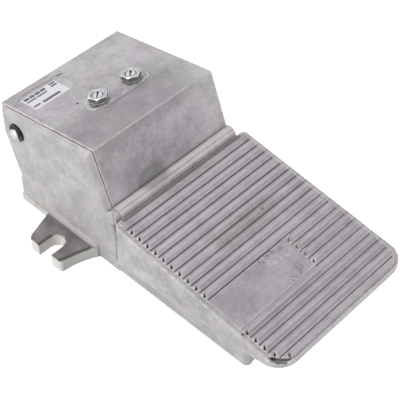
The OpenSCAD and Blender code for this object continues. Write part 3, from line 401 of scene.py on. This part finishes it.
def casting(name, warm, cool, side, mottle, wear_and_highlight, marks, lug_light_and_shade=False, ribs=False):
    """As-cast aluminium: mottled skin with pale flow lines, bright edges from rubbing and a painted
    highlight, and painted shade in the corners and creases.
    Faces turned to the left and right have the side colour."""
    g = Graph(name)
    cloud = g.noise(24, 4, 0.6)
    blotch = g.noise(85, 5, 0.65)
    skin = g.noise(380, 4, 0.7)
    grain = g.noise(1700, 3, 0.6)
    flow = g.noise(70, 3, 0.5, g.stretched(1.0, 0.6, 0.35))
    wide = g.open_sky(14 * MM)
    tight = g.open_sky(2.2 * MM)
    # the last two layers paint shade into the corners and creases
    color = g.layered(
        g.mix(g.span(cloud, 0.38, 0.62), warm, cool),
        (g.span(g.math("ABSOLUTE", g.facing(X)), 0.5, 0.9), side),
        (g.span(blotch, 0.44, 0.66, 0.0, 0.54 * mottle), STAIN),
        (g.span(blotch, 0.50, 0.32, 0.0, 0.42 * mottle), HAZE),
        (g.near(flow, 0.5, 0.016, 0.22), FLOW),
        (g.span(skin, 0.50, 0.72, 0.0, 0.42 * mottle), PALE_SKIN),
        (g.span(skin, 0.46, 0.28, 0.0, 0.42 * mottle), DARK_SKIN),
        (g.span(grain, 0.52, 0.72, 0.0, 0.42 * mottle), DARK_GRAIN),
        (g.span(grain, 0.48, 0.28, 0.0, 0.32 * mottle), FLOW),
        (g.span(wide, 0.85, 0.30, 0.0, 0.40), CORNER_SHADE),
        (g.span(tight, 0.80, 0.35, 0.0, 0.55), CREASE_SHADE))
    treadle = Treadle(g) if ribs else None
    if treadle:
        color = treadle.ribbed(color)
    # bright edges, partly rubbed and partly a painted highlight
    worn_and_lit = g.product(g.span(g.open_sky(1.5 * MM, inside=True), 0.93, 0.62), g.span(tight, 0.25, 0.65),
                     g.span(skin, 0.32, 0.60, 0.3 * wear_and_highlight, wear_and_highlight))
    color = g.mix(worn_and_lit, color, WORN_AND_HIGHLIGHT)
    if lug_light_and_shade:
        # painted shade on the lugs' level tops, and painted light on their upright faces
        level = g.product(g.span(g.place(Z), *LUG_SHADE_Z), g.span(g.facing(Z), 0.6, 0.9),
                          g.span(blotch, 0.3, 0.6, 0.60, 0.85))
        upright = g.product(g.span(g.facing(Z), 0.5, 0.2, 0.0, 0.8),
                            g.span(g.math("ABSOLUTE", g.place(X)), *LUG_X))
        color = g.layered(color, (level, LUG_SHADE), (upright, LUG_SIDE_LIGHT))
    if treadle:
        color = treadle.pitted(color)
    color = marked(g, color, marks, skin)
    height = g.math("ADD", g.product(skin, 0.75), g.product(grain, 0.25))
    normal = g.bump(height, 0.5, 0.22 * MM, g.soft_edge(0.6 * MM))
    g.put(g.bsdf.inputs["Specular IOR Level"], 0.3)
    return g.finish(color, g.span(blotch, 0.3, 0.7, 0.50, 0.66), 0.05, normal)


def metal(name, color, rough, shade=0.6, grain=(900, 900, 900), shade_and_highlight=0.0):
    """Bare or plated metal, stained, with painted shade in the corners and on upright faces, and painted
    highlights on its edges.
    """
    g = Graph(name)
    brushed = g.noise(1.0, 3, 0.6, g.stretched(*grain))
    stain = g.noise(160, 3)
    tone = g.mix(g.span(stain, 0.4, 0.7, 0.0, 0.5), color, rgb(*(shade * c for c in color[:3])))
    # painted shade in corners and on upright faces, and painted highlights on edges
    if shade_and_highlight:
        tone = g.layered(
            tone,
            (g.span(g.facing(Z), 0.9, 0.3, 0.0, 0.75 * shade_and_highlight), UPRIGHT_SHADE),
            (g.span(g.open_sky(1.6 * MM), 0.95, 0.40, 0.0, shade_and_highlight), BLACK),
            (g.span(g.open_sky(0.8 * MM, inside=True), 0.93, 0.65, 0.0, 0.8 * shade_and_highlight), EDGE_HIGHLIGHT))
    normal = g.bump(brushed, 0.06, 0.02 * MM, g.soft_edge(0.25 * MM))
    return g.finish(tone, g.span(brushed, 0.3, 0.7, rough - 0.06, rough + 0.08), 1.0, normal)


def rubber(name):
    """Black rubber with a little dust on it."""
    g = Graph(name)
    dust = g.noise(300, 4)
    color = g.mix(g.span(dust, 0.4, 0.75, 0.0, 0.5), RUBBER, RUBBER_DUST)
    return g.finish(color, g.span(dust, 0.3, 0.7, 0.6, 0.8), 0.0, g.bump(dust, 0.2, 0.1 * MM))


def paper(name, color, rough):
    """Paper or ink with a trace of fibres."""
    g = Graph(name)
    fibre = g.noise(1500, 3)
    tone = g.mix(g.span(fibre, 0.35, 0.7, 0.0, 0.12), color, FIBRE)
    return g.finish(tone, rough, 0.0, g.bump(fibre, 0.1, 0.03 * MM))


# Marks that the photo shows on each casting.
pedal_marks = (
    # painted shade on the hood behind its front ridge
    (SCUFF_AND_SHADE, 0.55, (-43, 44, 82), (20, 42, 82), 11, 25, 0.25),
    # painted light and shade: panel brighter toward the right, darker on its middle and left
    (PALE_MARK_AND_LIGHT, 0.30, (42, 22, 54), (34, 28, 70), 4, 24, 0.2),
    (SCUFF_AND_SHADE, 0.22, (8, 18, 44), (-20, 22, 54), 6, 20, 0.3),
    # painted light: hood paler toward the rear
    (PALE_MARK_AND_LIGHT, 0.22, (8, 92, 63), (34, 84, 65), 8, 30, 0.2),
    # painted shade along the foot of the bead and on the strip before it, and painted highlights along its
    # back and crest
    (DARK_MARK_AND_SHADE, 0.82, (-43, 9.0, 38.4), (43, 9.0, 38.4), 0.9, 2.1, 0.1),
    (SCUFF_AND_SHADE, 0.25, (-46, 5.6, 37.9), (46, 5.6, 37.9), 1.4, 2.6, 0),
    (BEAD_HIGHLIGHT, 0.80, (-42, 15.2, 42.8), (42, 15.2, 42.8), 0.9, 2.4, 0.15),
    (BEAD_HIGHLIGHT, 0.65, (-42, 12.0, 41.6), (42, 12.0, 41.6), 0.2, 1.2, 0.15),
    # front ridge of the hood rubbed bright, with a painted highlight
    (PALE_MARK_AND_LIGHT, 0.60, (-43, 30.1, 74.1), (28, 30.1, 74.1), 0.2, 0.75, BROKEN_LINE),
    # painted dark reflection low on the panel
    (DARK_MARK_AND_SHADE, 0.50, (-17, 18.4, 43), (-11, 18.6, 43.5), 4.5, 9, 0.15),
    # painted shade in pits in the ribs and in the hood
    (DARK_MARK_AND_SHADE, 0.9, (15.7, -33, 33.2), (15.9, -33, 33.2), 0.4, 1.1, 0),
    (DARK_MARK_AND_SHADE, 1.0, (-19.7, 67.5, 67.6), (-19.9, 67.5, 67.6), 0.5, 1.1, 0),
    # dirty streak across the ribs
    (DIRT, 0.45, (-14, -34, 33), (19, -32, 33.3), 2, 9, 0.6),
    # smudge and squiggles on the bare patch
    (SCUFF_AND_SHADE, 0.12, (-26, -65, 28.4), (-12, -63, 28.7), 3, 8, 0.3),
    (DARK_MARK_AND_SHADE, 0.75, (-10, -54.5, 30), (2, -56.5, 29.7), 1.5, 4.0, LINES),
    (DARK_MARK_AND_SHADE, 0.60, (-6.3, -73.0, 27.1), (2.2, -70.2, 27.6), 1.2, 3.8, LINES),
    (PALE_MARK_AND_LIGHT, 0.50, (-6, -58, 29.4), (6, -60, 29.1), 1.5, 4.0, LINES),
    # darker in the toe's pocket and at the patch's left corner, and painted shade in a pit on the toe
    # strip
    (DARK_MARK_AND_SHADE, 0.4, (-47.6, -96.6, 23.6), (-44.6, -100.9, 23.0), 0.3, 0.9, 0),
    (DARK_MARK_AND_SHADE, 0.75, (-48.2, -95.9, 23.3), (-46.7, -98.8, 22.9), 0.5, 1.2, 0),
    (DARK_MARK_AND_SHADE, 0.75, (-46.7, -98.8, 22.9), (-44.0, -101.3, 22.5), 0.5, 1.2, 0),
    (DARK_MARK_AND_SHADE, 0.95, (-40.4, -100.7, 23.1), (-39.4, -99.6, 23.3), 0.45, 1.0, 0),
    (DARK_MARK_AND_SHADE, 0.7, (-48.0, -77.0, 26.3), (-45.8, -77.5, 26.3), 0.4, 1.0, 0),
    # groove below the bare patch painted pale, a painted light over its shade, and the next rib's dip
    # darker
    (PALE_MARK_AND_LIGHT, 0.85, (-46.5, -75.1, 26.4), (9.0, -75.1, 26.4), 0.5, 0.9, 0),
    (DARK_MARK_AND_SHADE, 0.18, (-46, -77.0, 26.9), (9, -77.0, 26.9), 0.2, 0.7, 0),
    (DARK_MARK_AND_SHADE, 0.35, (-46, -78.9, 26.4), (9, -78.9, 26.4), 0.3, 0.9, 0),
    # painted highlight along the treadle's left edge, and the skirt's lower edge dulled
    (PALE_MARK_AND_LIGHT, 0.75, (-49.8, 4, 37.8), (-49.8, -78, 26.2), 0.2, 1.0, BROKEN_LINE),
    (CLAY, 0.70, (-50, 8.9, 10.8), (-50, -78, 17.8), 0.4, 1.0, 0.1),
    # brownish and darker low on the skirt
    (BROWN, 0.10, (-50, -35, 19), (-50, -75, 21.5), 3, 9, 0.3),
    # painted shadow at the edge of the nuts' pad
    (DARK_MARK_AND_SHADE, 0.9, (-18.1, 57.6, 69.5), (-16, 55.3, 69.9), 0.6, 1.1, 0),
    # painted highlight along the rim of the nuts' pad
    (PALE_MARK_AND_LIGHT, 0.65, (-13.2, 53.8, 70.2), (17.8, 54.1, 70.2), 0.2, 0.6, 0.2),
    (PALE_MARK_AND_LIGHT, 0.75, (17.8, 54.1, 70.2), (20.6, 55.4, 70.0), 0.2, 0.7, 0),
    (PALE_MARK_AND_LIGHT, 0.75, (20.6, 55.4, 70.0), (21.8, 58.0, 69.5), 0.2, 0.7, 0),
    (PALE_MARK_AND_LIGHT, 0.65, (-13.2, 53.8, 70.2), (-18.6, 55.3, 70.0), 0.2, 0.7, 0),
    (PALE_MARK_AND_LIGHT, 0.65, (-18.6, 55.3, 70.0), (-20.2, 59.5, 69.2), 0.2, 0.7, 0),
    # painted highlight along the left edge of the hood
    (PALE_MARK_AND_LIGHT, 0.55, (-42.8, 30.5, 74.0), (-42.8, 101, 61.6), 0.2, 0.8, 0.2),
    # dark line on the hood above the label, and the edge of a clear film beside it
    (DARK_MARK_AND_SHADE, 0.55, (-32.5, 98.5, 62.2), (-5.7, 97.1, 62.4), 0.25, 0.8, 0.2),
    (DARK_MARK_AND_SHADE, 0.85, (-8.7, 97.1, 62.4), (-5.9, 97.1, 62.4), 0.35, 0.8, 0),
    (PALE_MARK_AND_LIGHT, 0.30, (-10, 84, 64.8), (-10, 93, 63.1), 1.6, 2.4, 0.1),
)
base_marks = (
    # paler ledge between the left lug and the side, with a painted shade line over it
    (LEDGE, 0.9, (-48.1, 28, 8), (-48.1, 65, 8), 1.1, 2.5, 0.1),
    (DARK_MARK_AND_SHADE, 0.45, (-47, 27, 9.4), (-47, 62, 9.4), 0.2, 0.6, 0.3),
    # dark edges of the left lug's top
    (BLACK, 0.75, (-68.5, 51.2, 8), (-60, 51.2, 8), 0.4, 1.5, 0.1),
    (BLACK, 0.75, (-68, 34.8, 8), (-52, 30, 8), 0.4, 1.6, 0.1),
    # painted highlight at the inner end of the left slot, and the side's low rear edge paler
    (LEDGE, 0.80, (-57.6, 49.4, 8), (-56, 45.9, 8), 0.3, 1.3, 0),
    (LEDGE, 0.80, (-56, 45.9, 8), (-57.5, 42.4, 8), 0.3, 1.3, 0),
    (WARM, 0.55, (-47, 68, 2.4), (-47, 90, 2.4), 1.2, 3.8, 0.5),
    # painted highlight along the edges of the left ear
    (WARM, 0.6, (-44.3, 31, 73.4), (-44.3, 99, 61.4), 0.3, 1.1, 0.2),
    (WARM, 0.6, (-44.2, 29.5, 73), (-44.2, 17.5, 41), 0.3, 1.1, 0.2),
    # painted shade along the front edge of the left ear over the end of the bead and low on the bead's
    # end, and painted shadow in the slit behind the skirt
    (BROWN, 0.75, (-46.9, 13.7, 43.2), (-46.9, 13.5, 39.5), 0.2, 0.7, 0),
    (BROWN, 0.75, (-46.9, 13.5, 39.5), (-46.9, 12.8, 34.9), 0.2, 0.7, 0),
    (BROWN, 0.45, (-46.5, 11.6, 40.0), (-43.6, 11.6, 40.0), 0.8, 2.0, 0),
    (DARK_MARK_AND_SHADE, 0.50, (-46.5, 11.2, 37.4), (-43.6, 11.2, 37.4), 0.6, 1.6, 0),
    (DARK_MARK_AND_SHADE, 0.60, (-47, 12.8, 34), (-47, 12.8, 20), 0.3, 0.9, 0.1),
    (DARK_MARK_AND_SHADE, 0.60, (-47, 12.8, 20), (-47, 13.0, 7.5), 0.3, 0.9, 0.1),
    # painted light on the corner over the left front foot
    (PALE_MARK_AND_LIGHT, 0.40, (-46.5, -74, 3), (-46, -78, 2.5), 1.0, 4.0, 0.1),
    # scratch on the side
    (DARK_MARK_AND_SHADE, 0.5, (-47, 74.1, 34.3), (-47, 72.8, 29.1), 0.1, 0.6, 0.3),
)

pedal_skin = casting("pedal_skin", warm=rgb(0.455, 0.412, 0.455), cool=rgb(0.425, 0.415, 0.428),
                     side=rgb(0.44, 0.432, 0.422), mottle=1.15, wear_and_highlight=0.8, marks=pedal_marks, ribs=True)
base_skin = casting("base_skin", warm=rgb(0.455, 0.438, 0.433), cool=rgb(0.435, 0.434, 0.418),
                    side=rgb(0.432, 0.422, 0.412), mottle=0.8, wear_and_highlight=0.45, marks=base_marks, lug_light_and_shade=True)
bright_steel = metal("bright_steel", rgb(0.66, 0.66, 0.67), 0.28, shade_and_highlight=0.5)
zinc = metal("zinc", rgb(0.42, 0.44, 0.45), 0.34, 0.75, (160, 160, 160), shade_and_highlight=0.9)
bolt_zinc = metal("bolt_zinc", rgb(0.56, 0.58, 0.60), 0.40, 0.6, (160, 160, 160), shade_and_highlight=0.5)
black_oxide = metal("black_oxide", rgb(0.024, 0.024, 0.025), 0.45)
machined = metal("machined", rgb(0.54, 0.55, 0.56), 0.38, 0.8, (200, 200, 2500), shade_and_highlight=0.25)
brass = metal("brass", rgb(0.70, 0.50, 0.20), 0.30)
black_rubber = rubber("black_rubber")

finishes = {
    pedal_skin: ("pedal",),
    base_skin: ("base",),
    bright_steel: ("pivot_pin", "return_spring", "spool_spring", "top_cover", "spool"),
    zinc: ("bolt_washers", "striker_nuts", "valve_screws", "cover_screws"),
    bolt_zinc: ("striker_bolts",),
    black_oxide: ("pin_rings", "striker_plate", "spring_cap"),
    machined: ("valve_body",),
    brass: ("spool_guide", "bottom_plug"),
    black_rubber: ("wiper_ring", "spool_seals", "plug_seal", "stop_bumper"),
}
for material, names in finishes.items():
    for name in names:
        mesh = nodes[name].data
        mesh.materials.clear()
        mesh.materials.append(material)


def stand_in(name):
    """A piece with a CAD node's own shape that stands for it, so that it can give way with a joint."""
    piece = bpy.data.objects.new(name + "_soft", nodes[name].data.copy())
    scene.collection.objects.link(piece)
    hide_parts(name)
    return piece


# The springs shorten and the rubber gives way as the pedal goes down.
coil = stand_in("return_spring")
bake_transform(coil)
coil = stand_in("spool_spring")
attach(coil, "base")
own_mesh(coil)
bumper = stand_in("stop_bumper")
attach(bumper, "base")
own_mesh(bumper)


def add_mesh(name, verts, faces, material):
    mesh = bpy.data.meshes.new(name)
    mesh.from_pydata(verts, [], faces)
    mesh.materials.append(material)
    piece = bpy.data.objects.new(name, mesh)
    scene.collection.objects.link(piece)
    return piece


def on_hood(x, y, up):
    """A place on the hood's top, x and y in mm, up along its normal in mm."""
    back = y * MM - RIDGE_Y
    return (x * MM,
            y * MM + sin(HOOD_TILT) * up * MM,
            RIDGE_Z - tan(HOOD_TILT) * back + cos(HOOD_TILT) * up * MM)


def hood_sheet(name, rects, low, high, material):
    """Thin rectangles lying on the hood's top."""
    verts, faces = [], []
    for x0, y0, x1, y1 in rects:
        n = len(verts)
        corners = ((x0, y0), (x1, y0), (x1, y1), (x0, y1))
        verts += [on_hood(x, y, up) for up in (low, high) for x, y in corners]
        faces += [(n + 3, n + 2, n + 1, n), (n + 4, n + 5, n + 6, n + 7)]
        faces += [(n + i, n + (i + 1) % 4, n + (i + 1) % 4 + 4, n + i + 4) for i in range(4)]
    piece = add_mesh(name, verts, faces, material)
    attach(piece, "pedal")


# A bare white label with plain bars where the photo has small print: x, y, x, y in mm on the hood.
LABEL = (-36.4, 81.2, -12.6, 95.3)
BARS = [
    (-35.3, 92.1, -31.9, 94.5), (-31.4, 92.1, -28.2, 94.5),
    (-27.7, 92.1, -24.4, 94.5), (-23.9, 92.1, -20.7, 94.5),
    (-35.4, 89.7, -29.0, 91.0), (-28.5, 89.7, -21.6, 91.0),
    (-17.2, 93.2, -13.2, 94.8), (-17.6, 90.9, -13.6, 92.4),
    (-35.6, 83.6, -31.2, 85.1), (-29.6, 83.0, -17.6, 85.0),
]
LABEL_FOOT, LABEL_TOP, INK_TOP = 0.02, 0.12, 0.15
hood_sheet("label", [LABEL], LABEL_FOOT, LABEL_TOP, paper("label_paper", rgb(0.74, 0.72, 0.76), 0.45))
hood_sheet("label_bars", BARS, LABEL_TOP, INK_TOP, paper("label_ink", rgb(0.10, 0.10, 0.11), 0.5))

# Pipe threads in the five ports of the valve body: a ridge winds along each. Sizes in mm.
PORTS = ((-22.0, 14.0), (0.0, 14.0), (22.0, 14.0), (-12.5, 30.4), (12.5, 30.4))
PORT_R = 5.93
THREAD_START = 70.0
THREAD_STOP = 80.6
PITCH = 1.337
DEPTH = 0.45
STEPS = 28
RIDGE = ((PORT_R, 0.0), (PORT_R - DEPTH, 0.5 * PITCH), (PORT_R, 0.95 * PITCH))
verts, faces = [], []
for x, z in PORTS:
    for i in range(int((THREAD_STOP - THREAD_START - PITCH) / PITCH * STEPS)):
        angle = 2 * pi * i / STEPS
        y = THREAD_START + PITCH * i / STEPS
        n = len(verts)
        for out, along in RIDGE:
            verts.append(((x + out * cos(angle)) * MM, (y + along) * MM, (z + out * sin(angle)) * MM))
        if i:
            faces += [(n - 3 + j, n + j, n + (j + 1) % 3, n - 3 + (j + 1) % 3) for j in range(3)]
        else:
            faces.append((n, n + 1, n + 2))
    faces.append((len(verts) - 1, len(verts) - 2, len(verts) - 3))
threads = add_mesh("port_threads", verts, faces, machined)
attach(threads, "base")


def seen_directly(tree):
    """One for rays that show the background: straight to the camera, mirrored or through glass."""
    path = tree.nodes.new("ShaderNodeLightPath")
    result = path.outputs["Is Camera Ray"]
    for other in ("Is Glossy Ray", "Is Transmission Ray"):
        either = tree.nodes.new("ShaderNodeMath")
        either.operation = "MAXIMUM"
        tree.links.new(result, either.inputs[0])
        tree.links.new(path.outputs[other], either.inputs[1])
        result = either.outputs[0]
    return result


# Floor and background: white to the camera, with the part's own soft shadow.
FLOOR_HALF = 3.0
FLOOR_DROP = 0.1 * MM
FLOOR_GLOW = 0.72
WORLD_LIGHT = 0.16
g = Graph("floor_paper")
g.put(g.bsdf.inputs["Base Color"], rgb(0.8, 0.8, 0.8))
g.put(g.bsdf.inputs["Roughness"], 0.9)
glow = g.node("ShaderNodeEmission")
g.put(glow.inputs["Strength"], g.product(seen_directly(g.tree), FLOOR_GLOW))
both = g.node("ShaderNodeAddShader")
g.put(both.inputs[0], g.bsdf.outputs[0])
g.put(both.inputs[1], glow.outputs[0])
g.put(g.tree.nodes["Material Output"].inputs["Surface"], both.outputs[0])
corners = [(FLOOR_HALF * x, FLOOR_HALF * y, 0) for x, y in ((-1, -1), (1, -1), (1, 1), (-1, 1))]
floor = add_mesh("floor", corners, [(0, 1, 2, 3)], g.mat)
floor.location.z = -FLOOR_DROP

world = bpy.data.worlds.new("studio")
scene.world = world
world.use_nodes = True
tree = world.node_tree
level = tree.nodes.new("ShaderNodeMapRange")
tree.links.new(seen_directly(tree), level.inputs["Value"])
level.inputs["To Min"].default_value = WORLD_LIGHT
level.inputs["To Max"].default_value = 1.0
background = tree.nodes["Background"].inputs
tree.links.new(level.outputs["Result"], background["Strength"])
background["Color"].default_value = rgb(1, 1, 1)

# Lamps: name, place and width in metres, and power in watts. All point at the middle of the part.
LAMPS = (
    ("rear", (-0.3, 1.2, 0.5), 0.9, 3),
    ("top", (0.0, 0.5, 1.35), 0.7, 10.5),
    ("left", (-1.2, 0.1, 0.35), 0.8, 10),
    ("front", (0.7, -1.1, 0.5), 0.8, 9),
)
AIM = Vector((0, 0, 30 * MM))
for name, place, width, power in LAMPS:
    light = bpy.data.lights.new(name, "AREA")
    light.shape = "DISK"
    light.size = width
    light.energy = power
    lamp = bpy.data.objects.new(name, light)
    lamp.location = place
    lamp.rotation_euler = (AIM - Vector(place)).to_track_quat("-Z", "Y").to_euler()
    scene.collection.objects.link(lamp)

# The photo's view, found by fitting the part's edges to it.
LOOKS_DOWN = radians(46.286)
TURNED = radians(-46.288)
lens = bpy.data.cameras.new("camera")
lens.sensor_width = 36
lens.lens = 102.44
lens.shift_x = 0.0047
lens.shift_y = -0.0088
lens.clip_start = 0.01
camera = bpy.data.objects.new("camera", lens)
camera.location = (-301.44 * MM, -289.85 * MM, 467.84 * MM)
camera.rotation_euler = (pi / 2 - LOOKS_DOWN, 0, TURNED)
scene.collection.objects.link(camera)
scene.camera = camera
scene.view_settings.view_transform = "Standard"
